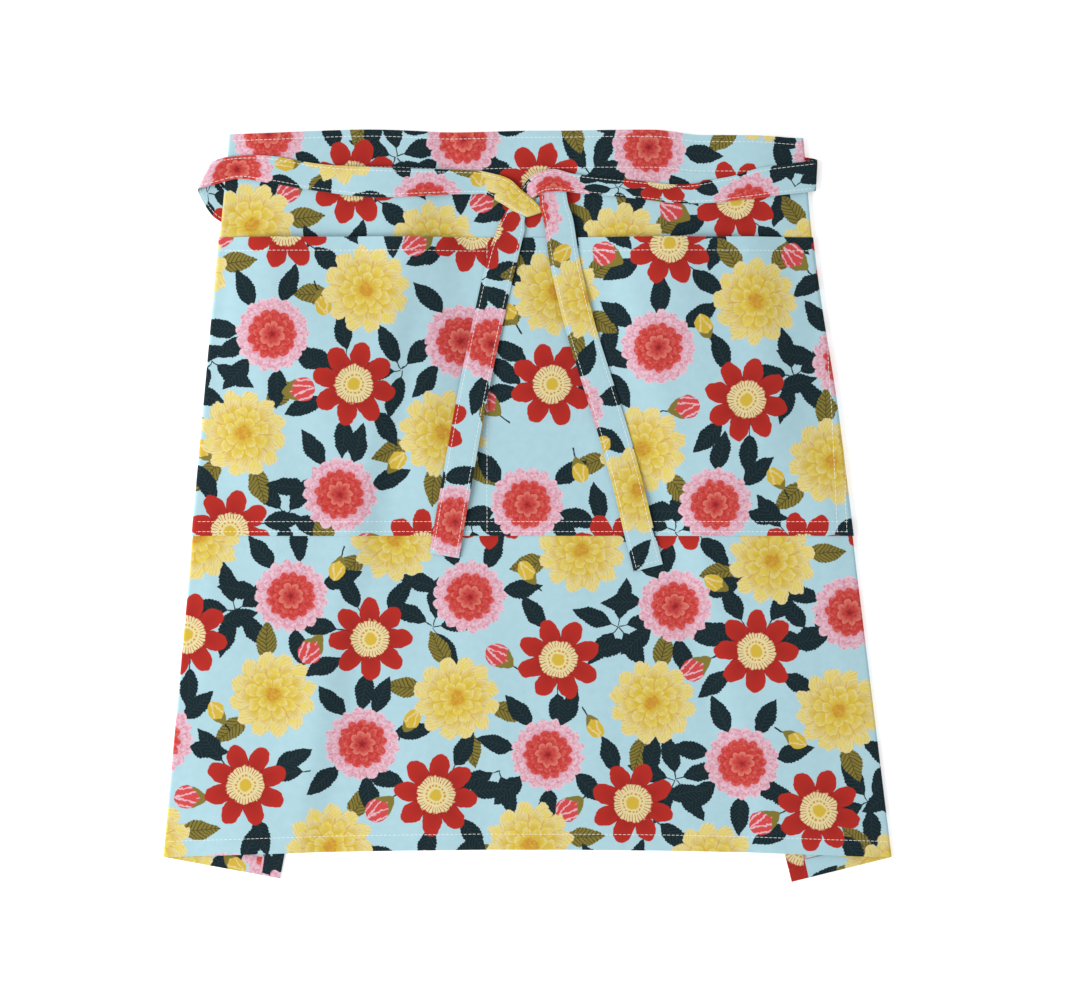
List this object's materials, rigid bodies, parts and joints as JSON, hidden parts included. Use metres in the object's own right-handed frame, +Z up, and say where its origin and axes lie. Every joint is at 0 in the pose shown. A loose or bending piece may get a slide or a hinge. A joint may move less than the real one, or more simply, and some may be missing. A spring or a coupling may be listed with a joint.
{
  "type": "half apron with pockets, laid flat",
  "caption": "Half apron laid flat, sides folded behind, with a full-width pocket band and waist ties knotted in front with hanging tails.",
  "frame": {"origin": "centre of the bounding box in plan, on the surface that the apron lies on", "axes": "+Z up out of the front of the apron, +Y from the hem to the waist edge, +X to the right as seen from the front"},
  "size_m": [0.512, 0.5268, 0.0134],
  "materials": {
    "printed_cotton": "matte woven cotton with a floral print"
  },
  "bodies": {
    "root": {"skirt": "printed_cotton", "waistband": "printed_cotton", "pocket_panel": "printed_cotton", "left_tie": "printed_cotton", "right_tie": "printed_cotton"}
  },
  "joints": []
}
